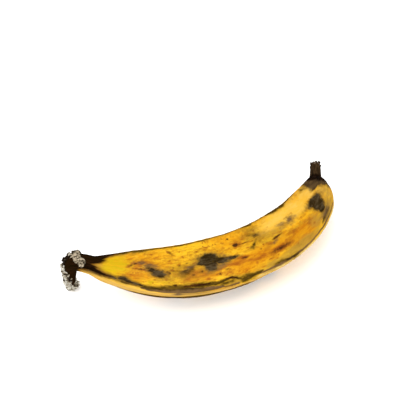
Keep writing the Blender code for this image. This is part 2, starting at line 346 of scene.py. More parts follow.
@dataclass(frozen=True)
class Form:
    """The fruit's axis and sections, in metres and degrees.

    Distances along the axis, here and below, start at the torn end.
    """

    stalk: float = 0.035
    body: float = 0.217
    beak: float = 0.016
    girth: float = 0.0242
    thickest: float = 0.6
    neck_swell: Span = (3.1, 0.60)
    shoulder_close: Span = (2.2, 0.50)
    stalk_radius: float = 0.0030
    neck_radius: float = 0.0066
    beak_radius: float = 0.0045
    beak_tip_radius: float = 0.0040
    core_blend: Span = (0.2, 0.8)
    heading_at_neck: float = -43.0
    heading_turn: Span = (58.0, 38.0)
    pitch_at_neck: float = -11.5
    pitch_at_beak: float = -3.0
    stalk_heading: float = -54.0
    stalk_pitch: float = 86.0
    bend: Span = (0.013, 0.034)
    ridges: tuple[float, ...] = (12.0, 52.0, 113.0, 200.0, 280.0)
    ridge_sharpness: float = 13.0
    ridge_height: float = 1.3
    neck_ridge_rise: float = 16.0
    neck_ridge_reach: float = 0.022
    ridges_rise: Span = (-0.003, 0.022)
    sink: float = 0.0012
    axis_points: int = 1201
    crowding: float = 0.3
    coarse_rings: int = 400
    coarse_sides: int = 8

    @property
    def length(self) -> float:
        """The whole axis, from the torn end to the tip of the beak."""
        return self.stalk + self.body + self.beak

    def directions(self, along: Array) -> tuple[Array, Array]:
        """Where the axis runs and where the outer bend lies.

        Over the body the heading turns evenly and with the square of the share
        passed, and the pitch fades from the neck's to the beak's. In the bend both
        go over to them from the stalk's own.

        Args:
            along: distances.

        Returns:
            Unit vectors forward and outward, the second in the floor's plane.
        """
        share = np.clip((along - self.stalk) / self.body, 0.0, 1.0)
        even, growing = self.heading_turn
        heading = self.heading_at_neck + even * share + growing * share ** 2
        pitch = (self.pitch_at_neck * (1.0 - share) ** 4
                 + self.pitch_at_beak * share ** 3)
        over = ease(along, *self.bend)
        heading = np.radians(self.stalk_heading * (1.0 - over) + heading * over)
        pitch = np.radians(self.stalk_pitch * (1.0 - over) + pitch * over)
        return (np.stack((np.cos(pitch) * np.cos(heading), np.cos(pitch) * np.sin(heading),
                          np.sin(pitch)), axis=-1),
                np.stack((np.sin(heading), -np.cos(heading), 0.0 * heading), axis=-1))

    def frames(self, along: Array) -> tuple[Array, Array, Array, Array]:
        """Points on the axis with the outward, upward and forward unit vectors.

        The axis is the running sum of its directions, and runs on straight past its
        ends.

        Args:
            along: distances.

        Returns:
            Points, outward, upward and forward vectors, one row for each distance.
        """
        fine = np.linspace(0.0, self.length, self.axis_points)
        step, _ = self.directions(fine)
        middle = (step[1:] + step[:-1]) / 2.0 * (fine[1] - fine[0])
        path = np.vstack((np.zeros(3), np.cumsum(middle, axis=0)))
        point = np.stack([np.interp(along, fine, path[:, k]) for k in range(3)], axis=-1)
        forward, outward = self.directions(along)
        upward = np.cross(outward, forward)
        past = np.minimum(along, 0.0) + np.maximum(along - self.length, 0.0)
        return point + forward * past[:, None], outward, upward, forward

    def reach(self, along: Array) -> tuple[Array, Array]:
        """Radius out to the ridges, and how far the ridges have come up.

        The body is half of a superellipse on each side of its thickest place. The
        stalk and the beak are blended in as a cubic mean.

        Args:
            along: distances.

        Returns:
            The radius in metres and the ridges' share, at each distance.
        """
        share = np.clip((along - self.stalk) / self.body, 0.0, 1.0)
        from_neck = np.clip(1.0 - share / self.thickest, 0.0, 1.0)
        from_beak = np.clip((share - self.thickest) / (1.0 - self.thickest), 0.0, 1.0)
        swell = (1.0 - from_neck ** self.neck_swell[0]) ** self.neck_swell[1]
        close = (1.0 - from_beak ** self.shoulder_close[0]) ** self.shoulder_close[1]
        body = self.girth * swell * close
        stem = self.stalk_radius + (self.neck_radius - self.stalk_radius) * ease(
            along, 0.0, self.stalk)
        nib = self.beak_radius + (self.beak_tip_radius - self.beak_radius) * ease(
            along, self.stalk + self.body, self.length)
        core = stem + (nib - stem) * ease(share, *self.core_blend)
        ridged = body / (body + core) * ease(along - self.stalk, *self.ridges_rise)
        return (body ** 3 + core ** 3) ** (1.0 / 3.0), ridged

    def ridge_angles(self, along: Array) -> Array:
        """Angles of the ridges; the lowest front one climbs towards the neck.

        Args:
            along: distances.

        Returns:
            Degrees, a row of all the ridges for each distance.
        """
        angles = np.tile(np.array(self.ridges), (len(along), 1))
        past_neck = np.maximum(along - self.stalk, 0.0)
        angles[:, 0] += self.neck_ridge_rise * np.exp(-past_neck / self.neck_ridge_reach)
        return angles

    def section(self, angle: Array, ridges: Array) -> Array:
        """Radius of the rounded polygon, as a share of its largest.

        Each facet is a straight line between two ridges, and a high power mean of
        all the facets rounds the corners.

        Args:
            angle: angles round each ring, in radians.
            ridges: angles of the ridges at each ring, in degrees.

        Returns:
            The share at each angle of each ring.
        """
        start = np.radians(ridges)
        end = np.roll(start, -1, axis=1)
        end[:, -1] += math.tau
        facing = ((start + end) / 2.0)[:, None, :]
        half = ((end - start) / 2.0)[:, None, :]
        facet = np.clip(np.cos(angle[:, :, None] - facing) / np.cos(half), 0.0, None)
        radius = (facet ** self.ridge_sharpness).sum(axis=2) ** (-1.0 / self.ridge_sharpness)
        return radius / radius.max(axis=1, keepdims=True)

    def angles(self, along: Array, sides_per_facet: int) -> Array:
        """Angles of the grid lines, which follow the ridges and crowd there.

        Between two ridges they are part evenly spaced and part spaced as a cosine.

        Args:
            along: distances of the rings.
            sides_per_facet: grid lines from one ridge to the next.

        Returns:
            Radians, a row round the fruit for each ring.
        """
        ridges = self.ridge_angles(along)
        following = np.roll(ridges, -1, axis=1)
        following[:, -1] += 360.0
        even = np.arange(sides_per_facet) / sides_per_facet
        crowded = self.crowding * (1.0 - np.cos(math.pi * even)) / 2.0
        part = (1.0 - self.crowding) * even + crowded
        angle = ridges[:, :, None] + (following - ridges)[:, :, None] * part
        return np.radians(angle.reshape(len(along), -1))

    def skin(self, along: Array, angle: Array, raised: Array | float = 0.0) -> Array:
        """Points of the skin: from the axis, a radius out at each angle.

        The radius is the ridges' reach, brought down between them by the section.

        Args:
            along: distances of the rings.
            angle: radians, a row for each ring.
            raised: height added to the radius, in metres.

        Returns:
            The points, before the fruit is put in its place.
        """
        reach, ridged = self.reach(along)
        shape = self.section(angle, self.ridge_angles(along))
        radius = reach[:, None] * (1.0 + self.ridge_height * ridged[:, None] * (shape - 1.0))
        radius = (radius + raised)[:, :, None]
        point, outward, upward, _ = self.frames(along)
        return (point[:, None, :]
                + radius * np.cos(angle)[:, :, None] * outward[:, None, :]
                + radius * np.sin(angle)[:, :, None] * upward[:, None, :])

    def lift(self) -> Array:
        """The shift that brings the skin into the box of the solid fruit.

        Returns:
            One vector: the boxes' middles meet, and the belly sinks a little
            under the floor, where it lies flat.
        """
        along = np.linspace(0.0, self.length, self.coarse_rings)
        points = self.skin(along, self.angles(along, self.coarse_sides)).reshape(-1, 3)
        low, high = (np.array(corner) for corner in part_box("fruit"))
        shift = (low + high) / 2.0 - (points.min(axis=0) + points.max(axis=0)) / 2.0
        shift[2] = -points[:, 2].min() - self.sink
        return shift


# ---- the markings of the peel ----

class Stain(Enum):
    """What darkens or tints the peel: its own marks, and painted light and shade. The last four
    follow the fruit's own form.
    """

    BRUISE = "bruise"
    RUST = "rust"
    # olive lines and marks, and painted contact shade on the lowest face
    OLIVE = "olive"
    # pale marks, and a painted highlight on the top face
    PALE = "pale"
    DEEP = "deep"
    GREY = "grey"
    PURPLE = "purple"
    SPOT = "spot"
    GREEN = "green"
    # painted light reflected up from the floor: a paler cream on the face below the lowest front
    # ridge
    FLOOR_REFLECTION = "underside"
    # a painted highlight along two ridges
    RIDGE_HIGHLIGHT = "crest"
    BLACK = "black"
    BLOSSOM = "blossom"


@dataclass(frozen=True)
class Blot:
    """An oval mark: its place in millimetres along and degrees round, and its size.

    half_length and half_width are in millimetres, turn is in degrees from the
    fruit's length towards the top, and strength is 1 for a full mark.
    """

    stain: Stain
    along: float
    around: float
    half_length: float
    half_width: float
    turn: float = 0.0
    strength: float = 1.0


@dataclass(frozen=True)
class Streak:
    """A line mark: knots of (mm along, degrees round, half width in mm)."""

    stain: Stain
    knots: tuple[tuple[float, float, float], ...]
    strength: float = 1.0


def blots(stain: Stain, *rows: tuple[float, ...]) -> list[Blot]:
    """Blots of one stain, each from a row of its other fields in order."""
    return [Blot(stain, *row) for row in rows]


BLOTS = (
    # the dark bruise in the middle of the front, with its lobes and its tail
    *blots(Stain.BRUISE, (115.5, 69, 7.6, 4.6, -4), (111, 63, 3.8, 2.4, 14),
        (113.5, 59, 3.4, 2, 0, 0.8), (116, 52, 4.2, 3.4, 0, 0.85), (117, 58, 4, 2.4, 0, 0.7),
        (122.5, 60.5, 6.4, 2.7, -14), (130.5, 59.5, 4.6, 1.4, 0, 0.75)),
    *blots(Stain.PURPLE, (121.5, 52, 4, 2.4, 0, 0.6), (126, 66, 3.6, 2.4, -30, 0.5)),
    # the slanting bruise near the neck
    *blots(Stain.BRUISE, (81.8, 50.5, 6, 2.7, -14, 0.85), (78, 56.5, 3.6, 2.2, -24, 0.6)),
    *blots(Stain.PURPLE, (77, 63, 6.4, 3.6, -20), (71, 73, 5.6, 2, -10, 0.6)),
    *blots(Stain.RUST, (68.5, 69.5, 4.6, 2.8, -10, 1.1), (75, 72, 6.5, 3, -20, 0.8),
        (71, 58, 5.5, 1.2, -4, 1.2), (87.5, 50.5, 2.6, 1.5, 10, 1.2),
        (90.5, 55, 0.9, 0.9, 0, 1.2)),
    *blots(Stain.SPOT, (88.8, 50.5, 1.2, 0.9), (86.6, 49, 0.9, 0.8, 0, 0.8)),
    # the dark drop by the blossom end
    *blots(Stain.BRUISE, (210.8, 67.5, 10.2, 3.9, -2, 1.3), (210, 60, 7.6, 4.8, 0, 1.4),
        (209.5, 50.5, 4.6, 3.6, 0, 1.2)),
    # small spots and dashes
    *blots(Stain.SPOT, (136.4, 82, 2.4, 1.6, 10, 1.5), (133.2, 98.5, 1.1, 0.9, 0, 0.9),
        (165.8, 64, 4.4, 0.9, 5), (92.4, 27.5, 1.2, 0.8, 0, 0.8), (91, 93, 2.6, 0.8, -50, 0.35)),
    *blots(Stain.RUST, (137.4, 82.5, 4, 2.8, 0, 1.1), (89, 97, 1.6, 0.8, -60, 0.8),
        (81, 87, 1.6, 1.2, 0, 0.8), (63, 88, 3, 1, 12, 0.6), (62, 66, 1.8, 1, 0, 0.8),
        (77, 84, 5, 0.6, 12, 0.6), (113, 93, 5, 0.7, 4, 0.7), (145, 92, 4, 1.2, 20, 0.5),
        (158.5, 59, 2.4, 1.4, 0, 0.9)),
    *blots(Stain.PURPLE, (163, 58.5, 3.4, 1.2, 8, 0.6), (155.5, 84, 2.8, 2.4, 0, 0.45),
        (95, -4, 3.4, 8, 0, 0.7), (103, 56, 5, 1.6, 35, 0.65), (99, 51, 4, 1.4, 20, 0.5)),
    *blots(Stain.OLIVE, (152.8, 86, 1.4, 2, 30, 0.1), (97, 48, 6, 2.2, 12, 0.2)),
    # reddish streaks in the orange band
    *blots(Stain.SPOT, (164, 43, 6.8, 1.2, 0, 0.55)),
    *blots(Stain.RUST, (163, 43, 11, 2.6, 0, 1.4), (147, 44.5, 10, 1.8, -4, 1.2),
        (133, 48.5, 9, 1.8, -6, 1.1), (137, 54.5, 4.5, 1.6, 0, 1.3), (121, 46, 5, 1.4, 0, 0.9),
        (104, 46, 8, 3, 0, 0.8), (112, 42.5, 4, 1.4), (100, 37, 3, 2, 0, 0.7),
        (127, 37, 3.6, 2, 0, 0.5), (145.5, 37.5, 1, 0.9, 0, 0.9), (178, 54.5, 3.6, 2, 0, 0.7),
        (191.5, 52, 3.4, 1.6, 0, 0.6), (66, 44, 6, 2, 0, 0.6)),
    # dark freckles in the rusty patches
    *blots(Stain.SPOT, (63.4, 67.5, 1.5, 0.8, 0, 0.45), (66.5, 71.5, 1.2, 0.7, 10, 0.5),
        (71, 59, 2.2, 0.5, 0, 0.35), (87.6, 53, 0.8, 0.6, 0, 0.6), (91.6, 59.5, 0.7, 0.5, 0, 0.5),
        (96, 64, 0.8, 0.5, 0, 0.4), (101, 66, 0.9, 0.6, 0, 0.45), (104.5, 44, 0.8, 0.7, 0, 0.45),
        (109.5, 47, 0.7, 0.6, 0, 0.5), (121, 38, 0.9, 0.7, 0, 0.4), (126, 43, 1.4, 0.6, 0, 0.4),
        (138.5, 52.5, 2.4, 0.7, 0, 0.45), (150.5, 57, 0.8, 0.6, 0, 0.45)),
    # grey smudges on the upper face
    *blots(Stain.PURPLE, (183.2, 77, 4.8, 3.6, 0, 0.6), (176, 78, 4, 2, -20, 0.28)),
    *blots(Stain.GREY, (167, 75, 10, 3, 0, 0.6)),
    *blots(Stain.OLIVE, (215.5, 107, 2.4, 1, 0, 0.35)),
    # the tan and olive side above the lowest front ridge
    *blots(Stain.GREY, (160, 20, 20, 4.8), (180, 27, 18, 4.6, 0, 1.5), (198, 42, 9, 6, 0, 0.8),
        (214, 36, 11, 6, 0, 1.2), (104, -3, 14, 9, 0, 1.3), (125, 18, 3.6, 1.2, 0, 0.9),
        (40.5, 57, 4.6, 2.4, 0, 1.3), (122, 4, 9, 3, 0, 0.5)),
    *blots(Stain.PURPLE, (210, 33, 8, 3.4, 0, 0.8)),
    # the deep orange band and other warm places, and a painted highlight on the top face
    *blots(Stain.DEEP, (150, 46, 46, 7.5), (108, 40, 18, 5), (185, 42, 26, 8, 0, 0.9),
        (138, 36, 12, 5, 0, 0.9), (140, 90, 16, 8, 0, 0.3), (68, 40, 9, 3.6, 0, 0.6),
        (76, 76, 12, 5, 0, 0.4)),
    # the pale blots at 185 and 213 mm on the top face are a painted highlight
    *blots(Stain.PALE, (185, 92, 30, 8, 0, 1.2), (213, 93, 12, 7, 0, 1.5),
        (226, 62, 7, 7, 0, 0.5)),
    *blots(Stain.GREY, (227, 60, 7, 7, 0, 0.45)),
    # still green near the neck, and in a gap of the dark ridge line
    *blots(Stain.GREEN, (52, 68, 15, 11, 0, 1.3), (78, 34, 4, 1.8, 0, 0.8),
        (88, 33, 5, 1.8, 0, 0.6), (125, 19, 5, 1.8, 0, 0.9)),
    *blots(Stain.GREY, (127, 19, 7, 2.4, 0, 0.9)),
    *blots(Stain.OLIVE, (124, 21, 4, 1.2, 0, 0.25)),
    # the back: green by the neck, orange bands, and a pale far end
    *blots(Stain.GREEN, (58, 150, 16, 13, 0, 1.1), (56, 238, 14, 11, 0, 0.9)),
    *blots(Stain.DEEP, (146, 148, 44, 7, 0, 0.9), (112, 176, 26, 6, 0, 0.8),
        (150, 232, 46, 9, 0, 0.8)),
    *blots(Stain.PALE, (204, 138, 18, 8, 0, 1.2), (208, 236, 14, 8, 0, 0.8)),
    # its bruises, with lobes, tails and rusty streaks
    *blots(Stain.BRUISE, (103, 172, 6, 2.4, -12, 0.9), (92, 168, 4.4, 2.4, 20, 0.8),
        (175.5, 159, 6.8, 5.4, 10, 1.1), (166, 157, 8, 2.2, 4, 0.9), (131, 238, 8.4, 3.8, 8),
        (138, 246, 5, 2.2, -14, 0.9)),
    *blots(Stain.PURPLE, (107, 180, 5.6, 3, -14, 0.8), (185, 152, 6.4, 3.4, 0, 0.7),
        (123, 230, 6, 3, 0, 0.7)),
    *blots(Stain.RUST, (126, 158, 11, 2.2, 4, 1.2), (148, 162, 9, 1.8, -4, 1.1),
        (84, 150, 6, 2.4, 0, 0.9), (196, 180, 8, 1.8, 6), (104, 232, 10, 2.4, 0, 1.1),
        (160, 224, 9, 2, 0, 1.1)),
    *blots(Stain.SPOT, (138, 140, 2.4, 1.5, 12, 1.2), (150, 162.5, 5, 0.9, -4, 0.6),
        (114, 146, 1.3, 0.9, 0, 0.9), (78, 172, 3, 0.8, 10, 0.8), (172, 236, 2, 1.2)),
)

STREAKS = (
    # the broken dark line of the lowest front ridge
    Streak(Stain.OLIVE, ((30, 26, 3.6), (38, 28, 3), (46, 29.5, 2.2), (51, 29.5, 1.8),
        (55, 28, 1.8), (58, 30, 2.3), (61, 30, 2.8), (66, 26, 2.1), (72, 23.5, 1.6),
        (80, 21, 1.5), (86, 22, 1.8), (94, 23, 2), (104, 23.5, 2.4), (112, 23.5, 2.2),
        (118, 23, 1.6), (122, 25, 1.1), (127, 28, 0.9), (130.5, 25, 1.3), (134, 19, 2.7),
        (140, 19, 2.2), (147, 21, 0.8)), 0.85),
    Streak(Stain.BRUISE, ((33, 26, 2.4), (42, 28, 1.5), (52, 30, 0.9), (55, 28, 0.5)), 0.6),
    Streak(Stain.BRUISE, ((57, 31, 0.8), (60, 33, 1.4), (65, 28, 1.1), (72, 24, 0.5)), 0.6),
    Streak(Stain.SPOT, ((98, 24, 0.5), (106, 25, 0.9), (113, 24.5, 0.5)), 0.6),
    Streak(Stain.SPOT, ((124, 28, 0.4), (128, 28, 0.6), (131, 23, 0.5)), 0.8),
    Streak(Stain.PURPLE, ((72, 18, 0.8), (82, 16.5, 1.7), (90, 15.5, 2.3), (104, 14.5, 2.8),
        (114, 14.5, 2.2), (121, 14.5, 1.2)), 2.3),
    # the tan strip below that line
    Streak(Stain.PALE, ((36, 20, 1.4), (50, 22, 2.6), (62, 20, 3), (76, 14, 3), (92, 9, 2.6),
        (100, 8, 1)), 1.6),
    Streak(Stain.PURPLE, ((118, 15, 0.8), (124, 12.5, 1), (131, 14, 1.2)), 0.9),
    Streak(Stain.OLIVE, ((157, 21, 0.6), (161, 22, 1.4), (166, 19, 0.8), (172, 18, 1.4),
        (178, 18, 0.6)), 0.5),
    Streak(Stain.PURPLE, ((146, 18, 0.7), (160, 18, 1.2), (176, 18.5, 0.9), (192, 20, 0.9),
        (208, 21, 0.9), (224, 22, 0.5)), 1),
    Streak(Stain.OLIVE, ((203, 28, 0.6), (207, 29, 1.2), (213, 30, 1.2), (217, 30, 0.6)), 0.5),
    # the thin line of the top ridge
    Streak(Stain.GREY, ((44, 110, 3.4), (58, 111, 2.8), (70, 111, 2), (78, 112, 1)), 1.3),
    Streak(Stain.OLIVE, ((50, 108, 1.4), (58, 108, 1.1), (62, 108.5, 0.9), (65, 108, 1.3),
        (71, 108, 1.3), (75, 109, 0.7), (95, 109, 0.6), (120, 110, 0.5), (140, 112, 0.5),
        (160, 112, 0.7), (172, 112, 0.7)), 0.7),
    Streak(Stain.OLIVE, ((148, 111, 0.6), (154, 110, 1.3), (159, 112, 0.6)), 0.7),
    Streak(Stain.OLIVE, ((172, 111, 0.8), (180, 111, 1.9), (189, 111, 1.9), (195, 112, 0.8),
        (208, 113, 0.5)), 1),
    # a scratch and a healed crack
    Streak(Stain.SPOT, ((138, 82, 0.45), (149, 78, 0.4)), 0.8),
    Streak(Stain.OLIVE, ((147, 65.5, 1.1), (149, 70, 1.1), (152, 77, 0.8)), 0.45),
    # hidden ridges; the third is widened into painted contact shade on the lowest face
    Streak(Stain.OLIVE, ((40, 200, 2), (62, 201, 1.4), (90, 200, 0.9), (128, 199, 1.2),
        (150, 200, 0.5)), 0.9),
    Streak(Stain.OLIVE, ((168, 200, 0.6), (190, 201, 1.6), (222, 200, 1.8)), 0.9),
    # the fourth ridge's line, widened from 52 to 152 mm over the lowest face as painted contact
    # shade where the fruit nears the floor
    Streak(Stain.OLIVE, ((38, 284, 1.8), (52, 293, 4), (66, 299, 5.6), (110, 300, 6),
        (138, 298, 5.4), (152, 292, 3.4), (160, 286, 1)), 1.2),
    Streak(Stain.OLIVE, ((188, 281, 0.7), (208, 280, 1.3), (226, 280, 1.6)), 0.85),
)

# Where tables by angle begin: underneath, in degrees.
UNDERNEATH = -60.0

# How far the black of the stalk reaches along the peel, in mm, by angle round it.
BLACK_STALK = ((-60.0, 28.0), (0.0, 28.5), (18.0, 34.0), (25.0, 46.0), (29.0, 52.0),
               (33.0, 47.0), (39.0, 41.0), (48.0, 41.5),
               (54.0, 37.0), (62.0, 37.5), (69.0, 43.0), (80.0, 44.5), (95.0, 45.5),
               (112.0, 52.0), (140.0, 50.0), (200.0, 46.0), (250.0, 36.0), (300.0, 28.0))
# Where the grey-brown of the blossom end begins, and its black.
GREY_END = ((-60.0, 240.0), (20.0, 240.0), (45.0, 235.0), (60.0, 232.0), (77.0, 230.0),
            (83.0, 219.5), (100.0, 218.5), (115.0, 224.0), (200.0, 228.0), (300.0, 240.0))
BLACK_END = ((-60.0, 246.0), (40.0, 243.0), (60.0, 239.5), (90.0, 238.0), (115.0, 231.0),
             (200.0, 238.0), (300.0, 246.0))


def by_angle(table: tuple[Span, ...], around: Array) -> Array:
    """Read a short table of (degrees, value) at angles round the fruit, from -60 to 300."""
    angles, values = np.array(table).T
    return np.interp(wrapped(around, UNDERNEATH), angles, values)


def wrapped(degrees: Array, start: float = -180.0) -> Array:
    """Angles brought within a full turn that begins at the start."""
    return (degrees - start) % 360.0 + start


@dataclass(frozen=True)
class StrewnSpots:
    """Marks strewn by a seeded rule: all over the hidden faces, and specks in front.

    Each kind has its count and the recipe of one mark. A blotch is a bruise with a
    rusty edge, a speck is rusty. Sizes are half widths in millimetres.
    """

    seed: int = 5
    blotches: int = 11
    blotch: Recipe = (("along", 62.0, 226.0), ("around", 132.0, 345.0), ("size", 2.0, 6.5),
                      ("flat", 0.4, 0.8), ("turn", -40.0, 40.0),
                      ("edge_along", -3.0, 3.0), ("edge_around", -8.0, 8.0))
    edge_larger: float = 1.5
    edge_strength: float = 0.7
    hidden_specks: int = 90
    hidden_speck: Recipe = (("along", 62.0, 226.0), ("around", 132.0, 345.0),
                            ("size", 0.4, 1.1), ("turn", -30.0, 30.0),
                            ("strength", 0.5, 1.0))
    hidden_long: float = 1.6
    front_specks: int = 110
    front_speck: Recipe = (("size", 0.35, 0.95), ("along", 62.0, 205.0, 95.0),
                           ("around", 26.0, 98.0), ("long", 1.0, 2.4),
                           ("turn", -20.0, 20.0), ("strength", 0.5, 1.3))

    def marks(self) -> list[Blot]:
        """Draw the marks.

        Returns:
            The marks, in the order in which they are drawn.
        """
        draw = random.Random(self.seed)
        found = []
        for _ in range(self.blotches):
            new = pick(self.blotch, draw)
            found += [Blot(Stain.BRUISE, new.along, new.around, new.size,
                           new.size * new.flat, new.turn),
                      Blot(Stain.RUST, new.along + new.edge_along,
                           new.around + new.edge_around, new.size * self.edge_larger,
                           new.size, new.turn, self.edge_strength)]
        for count, recipe in ((self.hidden_specks, self.hidden_speck),
                              (self.front_specks, self.front_speck)):
            for _ in range(count):
                new = pick(recipe, draw)
                long = getattr(new, "long", self.hidden_long)
                found.append(Blot(Stain.RUST, new.along, new.around, new.size * long,
                                  new.size, new.turn, new.strength))
        return found


@dataclass
class Markings:
    """Fields over the peel that say how far inside a mark each point lies.

    A field is the mark's strength in its middle, 0 on its edge and negative outside.
    """

    along: Array          # mm, by ring and by place round it
    around: Array         # degrees
    scale: Array          # mm of skin for each degree
    waver: Array          # mm, two smooth reliefs that bend the marks' edges
    streak_waver: float = 0.5
    streak_end: float = 0.7
    faintest: float = -1.0

    def blot(self, mark: Blot) -> Array:
        """Strength times one less the distance from the middle in half sizes.

        Args:
            mark: an oval.

        Returns:
            Its field.
        """
        u = self.along - mark.along + self.waver[0]
        v = wrapped(self.around - mark.around) * self.scale + self.waver[1]
        turn = math.radians(mark.turn)
        p = (u * math.cos(turn) + v * math.sin(turn)) / mark.half_length
        q = (v * math.cos(turn) - u * math.sin(turn)) / mark.half_width
        return mark.strength * (1.0 - np.sqrt(p * p + q * q))

    def streak(self, mark: Streak) -> Array:
        """The same for a line: one less the distance from it in half widths.

        Args:
            mark: a line, straight between its knots.

        Returns:
            Its field.
        """
        knots = np.array(mark.knots, dtype=float)
        middle = np.interp(self.along, knots[:, 0], knots[:, 1])
        half = np.interp(self.along, knots[:, 0], knots[:, 2])
        before = np.maximum(knots[0, 0] - self.along, 0.0)
        after = np.maximum(self.along - knots[-1, 0], 0.0)
        v = wrapped(self.around - middle) * self.scale + self.streak_waver * self.waver[1]
        return mark.strength * (1.0 - np.hypot(v, self.streak_end * (before + after)) / half)

    def field(self, stain: Stain, marks: list[Blot | Streak]) -> Array:
        """The strongest of all marks of one kind.

        Args:
            stain: the kind.
            marks: marks of every kind.

        Returns:
            The field, never below the faintest.
        """
        total = np.full(self.along.shape, self.faintest)
        for mark in marks:
            if mark.stain is stain:
                value = self.blot(mark) if isinstance(mark, Blot) else self.streak(mark)
                total = np.maximum(total, value)
        return total


# ---- finishes ----

@dataclass(frozen=True)
class Mottle:
    """A tint of the whole peel: this share of it where the noise is between its edges."""

    colour: Colour
    grain: Grain
    edges: Span
    share: float


@dataclass(frozen=True)
class Layer:
    """One stain of the peel's finish; some layers are painted light and shade instead.

    Its mask steps from 0 to 1 between the two edges, after a noise of that grain has
    frayed the stain's field. Another noise mixes its two colours.
    """

    stain: Stain
    colour: Colour
    other: Colour
    edges: Span
    fray: float
    grain: Grain
    opacity: float


@dataclass(frozen=True)
class PeelFinish:
    """Ripe peel: mottled yellow with tints, rusty specks, bruises and black ends, and painted
    highlights, floor reflection and contact shade.
    """

    ground: Colour = (0.59, 0.34, 0.012)
    mottles: tuple[Mottle, ...] = (
        Mottle((0.49, 0.21, 0.0045), Grain(0.014, 0.3, 4.0, 0.55), (0.35, 0.68), 1.0),
        Mottle((0.62, 0.39, 0.025), Grain(0.003, 1.0, 4.0, 0.70), (0.42, 0.75), 0.60),
        Mottle((0.27, 0.115, 0.0055), Grain(0.003, 0.3, 5.0, 0.75), (0.46, 0.62), 0.60),
        Mottle((0.29, 0.17, 0.0076), Grain(0.008, 0.3, 5.0, 0.70), (0.47, 0.66), 0.50),
        Mottle((0.27, 0.115, 0.0055), Grain(0.005, 1.0, 5.0, 0.80), (0.51, 0.66), 0.75),
    )
    specks: Mottle = Mottle((0.093, 0.022, 0.0038), Grain(0.010, 1.0, 2.0, 0.55), (0.50, 0.66), 0.7)
    speck_spacing: float = 0.003
    speck_edges: Span = (0.10, 0.26)
    layers: tuple[Layer, ...] = (
        Layer(Stain.GREEN, (0.34, 0.25, 0.0020), (0.46, 0.26, 0.0038),
              (-0.1, 0.8), 0.7, Grain(0.006, 0.4), 0.85),
        # pale marks, among them the painted highlight on the top face
        Layer(Stain.PALE, (0.56, 0.31, 0.034), (0.60, 0.37, 0.066),
              (-0.4, 0.7), 0.8, Grain(0.006, 0.4), 0.85),
        Layer(Stain.DEEP, (0.41, 0.16, 0.0025), (0.32, 0.093, 0.0019),
              (-0.3, 0.8), 1.1, Grain(0.005, 0.25), 0.85),
        # painted light reflected up from the floor onto the lower face
        Layer(Stain.FLOOR_REFLECTION, (0.51, 0.30, 0.058), (0.38, 0.23, 0.045),
              (0.2, 0.8), 0.4, Grain(0.006, 0.3), 0.9),
        # a painted highlight along two ridges, cream
        Layer(Stain.RIDGE_HIGHLIGHT, (0.60, 0.45, 0.18), (0.44, 0.31, 0.085),
              (0.1, 0.7), 0.4, Grain(0.004, 0.2), 0.9),
        Layer(Stain.GREY, (0.23, 0.13, 0.016), (0.33, 0.18, 0.022),
              (-0.3, 0.8), 1.0, Grain(0.003, 0.4), 0.82),
        Layer(Stain.RUST, (0.27, 0.083, 0.0051), (0.15, 0.032, 0.0032),
              (-0.6, 0.9), 1.3, Grain(0.0022, 0.5), 0.85),
        # olive lines and marks, and the painted contact shade on the lowest face
        Layer(Stain.OLIVE, (0.15, 0.076, 0.0076), (0.20, 0.12, 0.012),
              (-0.9, 0.3), 1.0, Grain(0.0024, 0.4), 0.6),
        Layer(Stain.PURPLE, (0.065, 0.036, 0.016), (0.11, 0.060, 0.026),
              (-0.4, 0.7), 0.9, Grain(0.0022, 0.5), 0.94),
        Layer(Stain.OLIVE, (0.014, 0.0076, 0.0012), (0.081, 0.044, 0.0051),
              (-0.3, 0.6), 1.2, Grain(0.0030, 0.45), 0.94),
        Layer(Stain.SPOT, (0.017, 0.0051, 0.0019), (0.041, 0.011, 0.0025),
              (-0.4, 0.5), 0.6, Grain(0.0014), 0.92),
        Layer(Stain.BRUISE, (0.15, 0.076, 0.014), (0.23, 0.12, 0.012),
              (-0.75, 0.15), 0.8, Grain(0.0022), 0.65),
        Layer(Stain.BRUISE, (0.0070, 0.0042, 0.0015), (0.052, 0.038, 0.020),
              (-0.28, 0.34), 0.55, Grain(0.0020), 0.96),
        Layer(Stain.BLACK, (0.15, 0.063, 0.0076), (0.11, 0.035, 0.0051),
              (-0.95, 0.2), 0.7, Grain(0.0030, 0.35), 0.65),
        Layer(Stain.BLOSSOM, (0.029, 0.017, 0.0093), (0.076, 0.045, 0.018),
              (-0.5, 0.6), 0.9, Grain(0.0036, 0.4), 0.97),
        Layer(Stain.BLACK, (0.0015, 0.0009, 0.0004), (0.013, 0.0046, 0.0019),
              (-0.5, 0.6), 1.0, Grain(0.0028, 0.35), 0.98),
    )
    two_tone: Grain = Grain(0.003, 0.3, 5.0, 0.75)
    two_tone_edges: Span = (0.40, 0.66)
    dry: tuple[Stain, ...] = (Stain.BRUISE, Stain.BLOSSOM, Stain.BLACK, Stain.OLIVE)
    rubbing: Grain = Grain(0.003, 1.0, 4.0, 0.70)
    roughness: float = 0.40
    rubbed_rougher: float = 0.14
    dry_rougher: float = 0.08
    pores: Grain = Grain(0.0009, 1.0, 2.0, 0.55)
    fibres: Grain = Grain(0.0014, 0.12, 3.0, 0.55)
    fibre_share: float = 0.65
    relief: float = 0.0003
    shine: float = 0.06
    shine_roughness: float = 0.30

